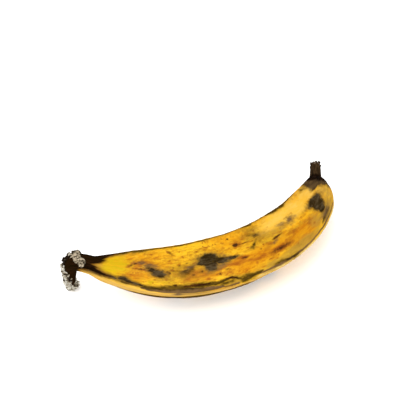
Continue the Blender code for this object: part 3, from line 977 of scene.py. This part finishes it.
    def material(self) -> bpy.types.Material:
        """Build the finish: every stain and painted light in turn over the mottled peel.

        All patterns lie on the straightened fruit. Dry stains take off the shine.

        Returns:
            The material.
        """
        graph = Graph("peel", "straight")
        colour = self.mottled(graph)
        two_tone = graph.step(graph.noise(self.two_tone), *self.two_tone_edges)
        dry: Socket | float = 0.0
        for layer in self.layers:
            mask = self.mask(graph, layer)
            colour = graph.mix(mask, colour, graph.mix(two_tone, layer.colour, layer.other))
            if layer.stain in self.dry:
                dry = mask + dry
        rubbed = graph.noise(self.rubbing)
        roughness = dry * self.dry_rougher + (rubbed * self.rubbed_rougher + self.roughness)
        height = (graph.noise(self.pores) * (1.0 - self.fibre_share)
                  + graph.noise(self.fibres) * self.fibre_share)
        shine = graph.maths("MAXIMUM", 1.0 - dry, 0.0) * self.shine
        return graph.surface(colour, roughness, height, self.relief,
                             {**MATT, "Coat Weight": shine,
                              "Coat Roughness": self.shine_roughness})

    def mottled(self, graph: Graph) -> Socket:
        """The ground colour with its mottles and its small rusty dots.

        The dots are the middles of random cells, strewn where a slow noise is high.

        Args:
            graph: the peel's nodes.

        Returns:
            The colour.
        """
        colour: Socket | Colour = self.ground
        for mottle in self.mottles:
            share = graph.step(graph.noise(mottle.grain), *mottle.edges) * mottle.share
            colour = graph.mix(share, colour, mottle.colour)
        cells = graph.node("TexVoronoi", {"feature": "F1"},
                           {"Vector": graph.place, "Scale": 1.0 / self.speck_spacing})
        strewn = graph.step(graph.noise(self.specks.grain), *self.specks.edges)
        dots = (1.0 - graph.step(cells, *self.speck_edges)) * strewn * self.specks.share
        return graph.mix(dots, colour, self.specks.colour)

    @staticmethod
    def mask(graph: Graph, layer: Layer) -> Socket:
        """How strongly a stain covers the peel, with its edge frayed by noise."""
        fray = (graph.noise(layer.grain) - 0.5) * (2.0 * layer.fray)
        return graph.step(graph.attribute(layer.stain.value) + fray,
                          *layer.edges) * layer.opacity


@dataclass(frozen=True)
class CrustFinish:
    """Dried crown or flower remains: pale crumbs and fibres over dark hollows, which are partly
    painted shade.

    The level of a place is the height of its relief with a fine and a slow noise
    added. It goes from hollow over middle to high between the edges. Through the
    relief the low places are darkened as painted shade; the noises give the crust's
    own dark and pale patches.
    """

    name: str
    high: Colour
    middle: Colour
    hollow: Colour
    tan: Colour
    middle_edges: Span = (-0.40, 0.10)
    high_edges: Span = (0.05, 0.55)
    tan_edges: Span = (-0.05, 0.45)
    # how far the relief darkens the low places: painted shade
    relief_share: float = 0.85
    crumbs: Grain = Grain(0.0016, rough=0.75)
    crumb_share: float = 2.4
    patches: Grain = Grain(0.0065, detail=2.0, rough=0.55)
    patch_share: float = 2.6
    patch_middle: float = 0.52
    darker: float = 0.55
    fibres: Grain = Grain(0.0007, detail=3.0, rough=0.7, distort=0.6)
    fibre_relief: float = 0.0004
    roughness: float = 0.78
    rougher: float = 0.15

    def material(self) -> bpy.types.Material:
        """Build the finish: browner where the tone is above 0, darker below.

        Returns:
            The material.
        """
        graph = Graph(self.name)
        tone = graph.attribute("tone")
        crumbs = graph.noise(self.crumbs)
        patches = graph.noise(self.patches)
        # the relief's share darkens the hollows as painted shade
        level = (graph.attribute("height") * self.relief_share
                 + (crumbs - 0.5) * self.crumb_share
                 + (patches - self.patch_middle) * self.patch_share
                 + graph.maths("MINIMUM", tone, 0.0) * self.darker)
        colour = graph.mix(graph.step(level, *self.middle_edges), self.hollow, self.middle)
        colour = graph.mix(graph.step(level, *self.high_edges), colour, self.high)
        browned = graph.maths("MAXIMUM", tone, 0.0) * graph.step(level, *self.tan_edges)
        colour = graph.mix(browned, colour, self.tan)
        return graph.surface(colour, crumbs * self.rougher + self.roughness,
                             graph.noise(self.fibres), self.fibre_relief, MATT)


# hollow is the colour of the low places, partly painted shade
CRUST = CrustFinish("crust", high=(0.46, 0.44, 0.38), middle=(0.17, 0.14, 0.093),
                    hollow=(0.011, 0.0070, 0.0045), tan=(0.29, 0.22, 0.135))
SCAR = CrustFinish("scar", high=(0.083, 0.058, 0.038), middle=(0.022, 0.015, 0.0093),
                   hollow=(0.0051, 0.0032, 0.0019), tan=(0.063, 0.038, 0.018))


# ---- the pieces ----

@dataclass(frozen=True)
class HighlightLine:
    """A painted highlight: a pale line along a ridge.

    ridge is the ridge's number and past how many degrees beyond it the line lies,
    width is in degrees, and it comes and goes between two places each, in mm.
    """

    ridge: int
    past: float
    width: float
    comes: Span
    goes: Span
    strength: float


@dataclass
class Peel:
    """The whole skin of the fruit, one fine closed surface.

    Lengths are in metres where the shape uses them and in mm where the stains do.
    """

    form: Form
    rings: int = 585
    sides_per_facet: int = 30
    straight_radius: float = 0.0218
    # what bends the marks' edges, along the fruit and round it, in mm
    waver: tuple[tuple[Ripple, Ripple], ...] = (
        (Ripple(0.011, 1, 0.35), Ripple(0.004, 2, 0.15)),
        (Ripple(0.009, 3, 0.28), Ripple(0.0035, 4, 0.12)),
    )
    end_waver: float = 1.6
    black_edge: float = 4.0
    blossom_edge: float = 6.0
    beak_begins: Span = (250.0, 256.0)
    beak_paler: float = 0.9
    # where the painted floor reflection fades in below the lowest front ridge, in degrees
    floor_reflection_edge: Span = (3.0, 12.0)
    # painted highlights along the top ridge and the lowest front ridge
    highlight_lines: tuple[HighlightLine, ...] = (
        HighlightLine(2, 1.5, 4.0, (50.0, 66.0), (142.0, 160.0), 0.55),
        HighlightLine(0, 0.5, 3.2, (138.0, 150.0), (228.0, 238.0), 1.0),
    )
    relief_grows: float = 0.03
    bruise_sink: float = 0.00025
    sunk_from: Span = (-0.2, 0.6)
    dents: Ripple = Ripple(0.016, 11, 0.00022, 0.5)
    seam: float = 0.00016
    seam_width: float = 3.2
    seam_uneven: Ripple = Ripple(0.006, 12, 0.8)
    wrinkle: float = 0.00030
    wrinkle_top: float = 0.6
    wrinkle_folds: Ripple = Ripple(0.0042, 13, 1.6, 0.10)
    wrinkled: Span = (0.020, 0.058)
    narrow: Span = (0.004, 0.012)
    narrow_wrinkles: float = 0.65

    def fields(self, along: Array, angle: Array, straight: Array) -> dict[Stain, Array]:
        """How strongly each stain and each painted light lies on each point.

        Args:
            along: distances of the rings, in metres.
            angle: angles round them, in radians.
            straight: the points on the straightened fruit.

        Returns:
            One grid of values between -1 and 1 for each stain.
        """
        reach, _ = self.form.reach(along)
        around = np.degrees(angle)
        grid_along = np.broadcast_to(along[:, None] / MM, angle.shape)
        scale = np.broadcast_to(np.radians(reach[:, None]) / MM, angle.shape)
        waver = np.stack([coarse.over(straight) + fine.over(straight)
                          for coarse, fine in self.waver])
        marks = Markings(grid_along, around, scale, waver)
        every = [*BLOTS, *STREAKS, *StrewnSpots().marks()]
        fields = {stain: marks.field(stain, every) for stain in Stain}
        fields |= self.ends(grid_along, around, self.end_waver * waver[0])
        ridges = self.form.ridge_angles(along)
        turned = wrapped(around, UNDERNEATH)
        # the face below the lowest front ridge, painted paler as light reflected from the floor
        fields[Stain.FLOOR_REFLECTION] = ease(ridges[:, :1] - turned, *self.floor_reflection_edge)
        # painted highlights along two ridges
        fields[Stain.RIDGE_HIGHLIGHT] = sum(self.highlight_field(rim, grid_along, turned, ridges)
                                  for rim in self.highlight_lines)
        return {stain: np.clip(value, -1.0, 1.0) for stain, value in fields.items()}

    def ends(self, along: Array, around: Array, waver: Array) -> dict[Stain, Array]:
        """The black ends and the grey-brown blossom end: distance past their edges.

        The black of the blossom end thins out on the beak.

        Args:
            along: distance of each point, in mm.
            around: its angle, in degrees.
            waver: how far it bends the edges, in mm.

        Returns:
            The two fields, with the width of a soft edge as 1.
        """
        from_neck = (by_angle(BLACK_STALK, around) - along + waver) / self.black_edge
        to_tip = (along - by_angle(BLACK_END, around) + waver) / self.black_edge
        on_beak = self.beak_paler * ease(along, *self.beak_begins)
        grey = (along - by_angle(GREY_END, around) + waver) / self.blossom_edge
        return {Stain.BLACK: np.maximum(from_neck, np.clip(to_tip, -1.0, 1.0) - on_beak),
                Stain.BLOSSOM: grey}

    @staticmethod
    def highlight_field(rim: HighlightLine, along: Array, turned: Array, ridges: Array) -> Array:
        """The painted highlight: a bell across the ridge that rises and falls along the fruit."""
        off = turned - ridges[:, rim.ridge:rim.ridge + 1] - rim.past
        return rim.strength * np.exp(-(off / rim.width) ** 2) * (
            ease(along, *rim.comes) * (1.0 - ease(along, *rim.goes)))

    def relief(self, along: Array, angle: Array, straight: Array,
               bruised: Array) -> Array:
        """Height of the fine relief: dents, sunk bruises, seams and end wrinkles.

        A seam is a low rib on each ridge. The wrinkles run along the fruit and grow
        towards both ends, where the peel has dried. They are lower where it is narrow.

        Args:
            along: distances of the rings, in metres.
            angle: angles round them, in radians.
            straight: the points on the straightened fruit.
            bruised: the field of the bruises.

        Returns:
            The height of each point, in metres.
        """
        form = self.form
        body = ease(along, form.stalk, form.stalk + self.relief_grows)[:, None]
        dents = self.dents.over(straight) * body
        sunk = ease(bruised, *self.sunk_from) * self.bruise_sink
        off = wrapped(np.degrees(angle)[:, None, :] - form.ridge_angles(along)[:, :, None])
        rib = np.exp(-(off / self.seam_width) ** 2).sum(axis=1) * body * self.seam
        uneven = 1.0 + self.seam_uneven.over(straight)
        to_end = np.minimum(along, form.length - along)[:, None]
        dry = 1.0 - ease(to_end, *self.wrinkled)
        wide = ease(form.reach(along)[0], *self.narrow)[:, None]
        finer = (1.0 - self.narrow_wrinkles) + self.narrow_wrinkles * wide
        folds = self.wrinkle_top - np.abs(self.wrinkle_folds.over(straight))
        return dents - sunk + rib * uneven + folds * dry * finer * self.wrinkle

    def build(self, lift: Array, finish: PeelFinish) -> bpy.types.Object:
        """Make the skin and dress it.

        Args:
            lift: the shift that puts it in place.
            finish: its material.

        Returns:
            The finished piece.
        """
        along = np.linspace(0.0, self.form.length, self.rings)
        angle = self.form.angles(along, self.sides_per_facet)
        straight = np.stack((self.straight_radius * np.cos(angle),
                             self.straight_radius * np.sin(angle),
                             np.broadcast_to(along[:, None], angle.shape)), axis=-1)
        fields = self.fields(along, angle, straight)
        raised = self.relief(along, angle, straight, fields[Stain.BRUISE])
        mesh = tube_mesh("peel", [self.form.skin(along, angle, raised) + lift])
        store(mesh, "straight", [straight])
        for stain, value in fields.items():
            store(mesh, stain.value, [value])
        return add_piece(mesh, finish.material(), "peel", "fruit")


class Tone(Enum):
    """How a lump of crust is coloured: darker below 0, browner above."""

    DARK = -1.0
    PALE = 0.0
    TAN = 0.75


# A lump's coarse bumps: how strong the slanting wave and all of them are, how many
# waves go round, and where they may start.
SLANTING, BUMPS = 0.6, 0.22
BUMP_WAVES, BUMP_STARTS = (2.0, 4.0), (0.0, 6.3)

# Its crumbly relief: wave lengths in metres with their shares, and its floor.
CRUMB_WAVES = ((0.0042, 0.50), (0.0021, 0.45), (0.0012, 0.25))
CRUMB_FLOOR = -0.45


@dataclass
class Lump:
    """A knobbly lump: a ball pushed in and out by waves and drawn out one way."""

    centre: Array
    size: float
    stretch: Array
    draw: InitVar[random.Random]

    def __post_init__(self, draw: random.Random) -> None:
        """Draw the waves, in the order that the solid's lumps have."""
        self.wave = [draw.uniform(*BUMP_WAVES) for _ in range(3)]
        self.start = [draw.uniform(*BUMP_STARTS) for _ in range(3)]

    def points(self, rows: int, sides: int, rough: float, seed: int) -> tuple[Array, Array]:
        """The lump's rings, with a finer relief, and the height of that relief.

        The ball has rings from pole to pole, without the poles themselves. The coarse
        bump is sin * sin of two axes plus a slanting sine. The fine relief is a sum of
        three ever finer ripples, cut off below so that it has crumbs with flat hollows
        between them.

        Args:
            rows: rings from pole to pole.
            sides: points round a ring.
            rough: height of the fine relief, as a share of the lump's size.
            seed: draws the fine relief.

        Returns:
            The rings of points, and the fine relief at each.
        """
        polar = math.pi * (np.arange(rows) + 0.5)[:, None] / rows
        turn = math.tau * np.arange(sides) / sides
        x, y = np.sin(polar) * np.cos(turn), np.sin(polar) * np.sin(turn)
        z = np.broadcast_to(-np.cos(polar), x.shape)
        unit = np.stack((x, y, z), axis=-1)
        coarse = (np.sin(self.wave[0] * x + self.start[0])
                  * np.sin(self.wave[1] * y + self.start[1])
                  + SLANTING * np.sin(self.wave[2] * (x + z) + self.start[2]))
        place = self.centre + unit * self.size
        fine = sum(Ripple(size, seed + number, share).over(place)
                   for number, (size, share) in enumerate(CRUMB_WAVES))
        fine = np.maximum(fine, CRUMB_FLOOR)
        co = unit * (1.0 + BUMPS * coarse + rough * fine)[:, :, None]
        away = (co @ self.stretch)[:, :, None]
        return self.centre + self.size * (co + away * self.stretch), fine


# A grown bit of crust: its rings of points, the relief at each, and its tone.
Bit = tuple[Array, Array, Tone]


def add_crust(name: str, bits: list[Bit], finish: CrustFinish, slot: str,
              replaced: str) -> bpy.types.Object:
    """Join bits of crust into one dressed piece, with their relief and tone stored.

    Args:
        name: of the piece.
        bits: all that it is made of.
        finish: its material.
        slot: the material slot that it stands for.
        replaced: the plain solid that it stands for.

    Returns:
        The finished piece.
    """
    mesh = tube_mesh(name, [rings for rings, _, _ in bits])
    store(mesh, "height", [height for _, height, _ in bits])
    store(mesh, "tone", [np.full(height.shape, tone.value) for _, height, tone in bits])
    return add_piece(mesh, finish.material(), slot, replaced)


@dataclass(frozen=True)
class Row:
    """A row of lumps between two places (metres along, degrees round) on the stalk.

    depth is how far their middles lie under the skin, and kept is the share that they
    keep of the solid lumps' size.
    """

    first: Span
    last: Span
    count: int
    size: float
    depth: float
    tone: Tone = Tone.PALE
    kept: float = 1.0


@dataclass
class TornCrown:
    """The dried crust of the crown: rows of lumps on the stalk, with crumbs and flakes.

    Two rows make the tan collar at the neck. A thin dark row behind the bend joins
    it to the pale crust on the stalk. A grid is rings and sides.
    """

    form: Form
    seed: int = 7
    lump: Recipe = (("along", -0.0006, 0.0006), ("scale", 0.85, 1.2), ("above", 0.0, 0.0009),
                    ("around", -6.0, 6.0), ("out", 0.1, 0.5), ("ahead", -0.6, 0.6))
    lump_grid: tuple[int, int] = (30, 48)
    lump_rough: float = 0.26
    relief_seed: int = 40
    loose_seed: int = 21
    crumbs_per_lump: int = 7
    crumb_outward: float = 0.9
    crumb: Recipe = (("size", 0.00035, 0.00095), ("reach", 0.80, 1.05), ("x", -0.6, 0.6),
                     ("y", -0.6, 0.6), ("z", -0.6, 0.6))
    crumb_grid: tuple[int, int] = (7, 10)
    crumb_rough: float = 0.25
    crumb_relief: float = 0.3
    crumb_height: Span = (-0.15, 0.75)
    flakes_per_lump: int = 2
    flake: Recipe = (("turn", 0.0, math.tau), ("aside", -0.2, 0.4), ("half", 0.0007, 0.0014),
                     ("width", 0.4, 0.7), ("curl", 0.0001, 0.0007), ("height", 0.2, 0.9))
    flake_grid: tuple[int, int] = (9, 8)
    flake_ends: Span = (0.02, 0.98)
    flake_reach: float = 0.9
    flake_rooted: float = 0.6
    flake_taper: float = 0.8
    flake_thickness: float = 0.00014
    rows: tuple[Row, ...] = (
        Row((0.0252, 140.0), (0.0272, 80.0), 4, 0.0028, 0.0004, Tone.TAN, 0.88),
        Row((0.0275, 66.0), (0.0305, 48.0), 3, 0.0025, 0.0008, Tone.TAN, 0.80),
        Row((0.0160, 100.0), (0.0260, 150.0), 5, 0.0029, 0.0004, Tone.DARK, 0.82),
        Row((0.0030, 65.0), (0.0160, 76.0), 4, 0.0029, 0.0004),
        Row((0.0020, 20.0), (0.0120, 24.0), 3, 0.0027, 0.0006),
        Row((0.0040, 125.0), (0.0120, 112.0), 2, 0.0030, 0.0006),
        Row((-0.0010, 340.0), (-0.0010, 260.0), 2, 0.0026, 0.0008, Tone.PALE, 0.85),
        Row((-0.0040, 60.0), (-0.0045, 200.0), 2, 0.0032, 0.0022),
    )

    def place(self, along: float, angle: float, above: float) -> tuple[Array, Array, Array]:
        """A point over the skin, with the directions straight out of it and along it.

        Args:
            along: distance from the torn end, in metres.
            angle: degrees round the stalk.
            above: height over the skin, in metres.

        Returns:
            The point and the two unit vectors.
        """
        at = np.array([along])
        point, outward, upward, forward = self.form.frames(at)
        reach, _ = self.form.reach(np.clip(at, 0.0, self.form.length))
        turn = math.radians(angle)
        out = math.cos(turn) * outward[0] + math.sin(turn) * upward[0]
        return point[0] + out * (reach[0] + above), out, forward[0]

    def lumps(self, lift: Array) -> list[tuple[Lump, Array, Array, Tone]]:
        """The lumps where the solid crust has them, evenly along each row.

        Args:
            lift: the shift that puts them in place.

        Returns:
            Each lump with the directions out of the stalk and along it, and its tone.
        """
        draw = random.Random(self.seed)
        made = []
        for row in self.rows:
            for index in range(row.count):
                part = index / (row.count - 1)
                along, angle = (a + (b - a) * part for a, b in zip(row.first, row.last))
                off = pick(self.lump, draw)
                spot, out, ahead = self.place(along + off.along, angle + off.around,
                                              off.above - row.depth)
                lump = Lump(spot + lift, row.size * off.scale * row.kept,
                            out * off.out + ahead * off.ahead, draw)
                made.append((lump, out, ahead, row.tone))
        return made

    def grow_crumb(self, lump: Lump, out: Array, draw: random.Random) -> tuple[Array, Array]:
        """A crumb that sticks to the outer half of a lump.

        Args:
            lump: what it sticks to.
            out: unit vector out of the stalk.
            draw: gives its place, size and shape.

        Returns:
            Its rings of points, and the height stored for the shader.
        """
        way = np.array([draw.gauss(0.0, 1.0) for _ in range(3)]) + self.crumb_outward * out
        way /= np.linalg.norm(way)
        new = pick(self.crumb, draw)
        root = lump.centre + way * lump.size * new.reach
        made = Lump(root, new.size, np.array((new.x, new.y, new.z)), draw)
        rings, fine = made.points(*self.crumb_grid, self.crumb_rough, self.loose_seed)
        return rings, self.crumb_relief * fine + draw.uniform(*self.crumb_height)

    def grow_flake(self, lump: Lump, out: Array, ahead: Array,
                   draw: random.Random) -> tuple[Array, Array]:
        """A papery scale rooted on a lump: a flattened tube that curls away from it.

        Its outline swells and closes as a sine, and its middle line rises with the
        square of the distance along it.

        Args:
            lump: what it is rooted on.
            out: unit vector out of the stalk.
            ahead: unit vector along the stalk.
            draw: gives its place, size and curl.

        Returns:
            Its rings of points, and the height stored for the shader.
        """
        new = pick(self.flake, draw)
        way = ahead * math.cos(new.turn) + np.cross(out, ahead) * math.sin(new.turn)
        root = lump.centre + (out + way * new.aside) * lump.size * self.flake_reach
        across = np.cross(out, way) * new.half * new.width
        rows, sides = self.flake_grid
        t = np.linspace(*self.flake_ends, rows)[:, None, None]
        turn = np.linspace(0.0, math.tau, sides, endpoint=False)[None, :, None]
        wide = np.sin(math.pi * t ** self.flake_taper)
        rings = (root + way * new.half * (2.0 * t - self.flake_rooted)
                 + across * wide * np.cos(turn)
                 + out * (new.curl * t ** 2 + self.flake_thickness * wide * np.sin(turn)))
        return rings, np.full(rings.shape[:2], new.height)

    def build(self, lift: Array, finish: CrustFinish) -> bpy.types.Object:
        """Make the lumps with their crumbs and flakes, and dress them.

        Args:
            lift: the shift that puts them in place.
            finish: their material.

        Returns:
            The finished piece.
        """
        draw = random.Random(self.loose_seed)
        bits: list[Bit] = []
        for number, (lump, out, ahead, tone) in enumerate(self.lumps(lift)):
            grown = [lump.points(*self.lump_grid, self.lump_rough, self.relief_seed + number)]
            grown += [self.grow_crumb(lump, out, draw) for _ in range(self.crumbs_per_lump)]
            grown += [self.grow_flake(lump, out, ahead, draw)
                      for _ in range(self.flakes_per_lump)]
            bits += [(rings, height, tone) for rings, height in grown]
        return add_crust("crown_crust", bits, finish, "crust", "torn_crown")


@dataclass
class FlowerScar:
    """The dried scar of the flower: a knob on the beak with withered flakes round it."""

    form: Form
    seed: int = 3
    knob: float = 0.0034
    flake_size: float = 0.0013
    spread: float = 0.0030
    proud: float = 0.0006
    flakes: int = 7
    flake: Recipe = (("turn", -0.2, 0.2), ("ahead", -0.0004, 0.0008), ("long", 0.5, 0.9))
    flake_out: float = 0.3
    relief_seed: int = 90
    grid: tuple[int, int] = (24, 36)
    rough: float = 0.22

    def build(self, lift: Array, finish: CrustFinish) -> bpy.types.Object:
        """Make the knob and the flakes where the solid scar has them, and dress them.

        Args:
            lift: the shift that puts them in place.
            finish: their material.

        Returns:
            The finished piece.
        """
        draw = random.Random(self.seed)
        point, outward, upward, forward = (
            rows[0] for rows in self.form.frames(np.array([self.form.length])))
        tip = point + forward * self.proud + lift
        lumps = [Lump(tip, self.knob, 0.0 * tip, draw)]
        for index in range(self.flakes):
            new = pick(self.flake, draw)
            turn = math.tau * (index + new.turn) / self.flakes
            out = math.cos(turn) * outward + math.sin(turn) * upward
            lumps.append(Lump(tip + out * self.spread + forward * new.ahead, self.flake_size,
                              forward * new.long + out * self.flake_out, draw))
        bits = [(*lump.points(*self.grid, self.rough, self.relief_seed + number), Tone.PALE)
                for number, lump in enumerate(lumps)]
        return add_crust("blossom_scar", bits, finish, "scar", "flower_scar")


# ---- the studio ----

@dataclass(frozen=True)
class Lamp:
    """A square area light that faces the fruit: place and size in metres, and watts."""

    name: str
    place: tuple[float, float, float]
    size: float
    power: float


@dataclass
class Studio:
    """Pale floor, soft light and the camera. Angles in degrees, distances in metres."""

    azimuth: float = -32.0
    elevation: float = 45.0
    distance: float = 0.778
    lens: float = 92.3
    sensor: float = 36.0
    nearest: float = 0.01
    aim: tuple[float, float, float] = (0.0112, 0.0505, 0.0175)
    floor_size: float = 6.0
    floor_colour: Colour = (0.955, 0.95, 0.94)
    floor_other: Colour = (0.945, 0.94, 0.93)
    floor_grain: Grain = Grain(0.05, detail=2.0, rough=0.55)
    floor_roughness: float = 0.75
    floor_rougher: float = 0.05
    floor_relief: float = 0.00001
    floor_shine: float = 0.2
    lamp_colour: Colour = (1.0, 0.995, 0.99)
    air: float = 1.10
    lamps: tuple[Lamp, ...] = (
        Lamp("overhead", (-0.60, 0.0, 1.36), 1.3, 17.0),
        Lamp("front", (-0.5, -1.15, 0.7), 1.0, 11.5),
    )

    def floor(self) -> None:
        """A wide plain floor just under the fruit."""
        half = self.floor_size / 2.0
        corners = [(-half, -half, 0.0), (half, -half, 0.0), (half, half, 0.0),
                   (-half, half, 0.0)]
        mesh = bpy.data.meshes.new("floor")
        mesh.from_pydata(corners, [], [(0, 1, 2, 3)])
        graph = Graph("floor")
        faint = graph.noise(self.floor_grain)
        colour = graph.mix(faint, self.floor_colour, self.floor_other)
        roughness = faint * self.floor_rougher + self.floor_roughness
        mesh.materials.append(graph.surface(colour, roughness, faint, self.floor_relief,
                                            {"Specular IOR Level": self.floor_shine}))
        floor = bpy.data.objects.new("floor", mesh)
        bpy.context.scene.collection.objects.link(floor)

    @staticmethod
    def hang(data: bpy.types.ID, place: Array, way: Array) -> bpy.types.Object:
        """Put a lamp or a camera in the scene, turned so that it looks one way.

        Args:
            data: the lamp or camera.
            place: where it goes, in metres.
            way: the direction that its -Z axis takes.

        Returns:
            The new object.
        """
        hung = bpy.data.objects.new(data.name, data)
        hung.location = place
        flat = math.hypot(way[0], way[1])
        hung.rotation_euler = (math.atan2(flat, -way[2]), 0.0, math.atan2(-way[0], way[1]))
        bpy.context.scene.collection.objects.link(hung)
        return hung

    def lights(self) -> None:
        """A big soft light overhead, a smaller one from the front, and white air."""
        for lamp in self.lamps:
            data = bpy.data.lights.new(lamp.name, "AREA")
            data.size = lamp.size
            data.energy = lamp.power
            data.color = self.lamp_colour
            place = np.array(lamp.place)
            self.hang(data, place, np.array(self.aim) - place)
        world = bpy.data.worlds.new("air")
        world.use_nodes = True
        back = world.node_tree.nodes["Background"]
        back.inputs["Color"].default_value = (1.0, 1.0, 1.0, 1.0)
        back.inputs["Strength"].default_value = self.air
        bpy.context.scene.world = world
        bpy.context.scene.view_settings.view_transform = "Standard"

    def camera(self) -> None:
        """A camera that looks down on the fruit at its own angle."""
        turn, rise = math.radians(self.azimuth), math.radians(self.elevation)
        ahead = np.array((-math.sin(turn) * math.cos(rise), math.cos(turn) * math.cos(rise),
                          -math.sin(rise)))
        data = bpy.data.cameras.new("camera")
        data.lens = self.lens
        data.sensor_width = self.sensor
        data.clip_start = self.nearest
        bpy.context.scene.camera = self.hang(
            data, np.array(self.aim) - ahead * self.distance, ahead)

    def build(self) -> None:
        """Set up the whole studio."""
        self.floor()
        self.lights()
        self.camera()


def main() -> None:
    """Build every piece in order, then the studio, and report each."""
    logging.basicConfig(level=logging.INFO, format="%(name)s: %(message)s")
    form = Form()
    lift = form.lift()
    for maker, finish in ((Peel(form), PeelFinish()), (TornCrown(form), CRUST),
                          (FlowerScar(form), SCAR)):
        piece = maker.build(lift, finish)
        LOG.info("%s: %d points, %d faces", piece.name, len(piece.data.vertices),
                 len(piece.data.polygons))
    Studio().build()
    LOG.info("studio: floor, lights and camera")


if __name__ == "__main__":
    main()
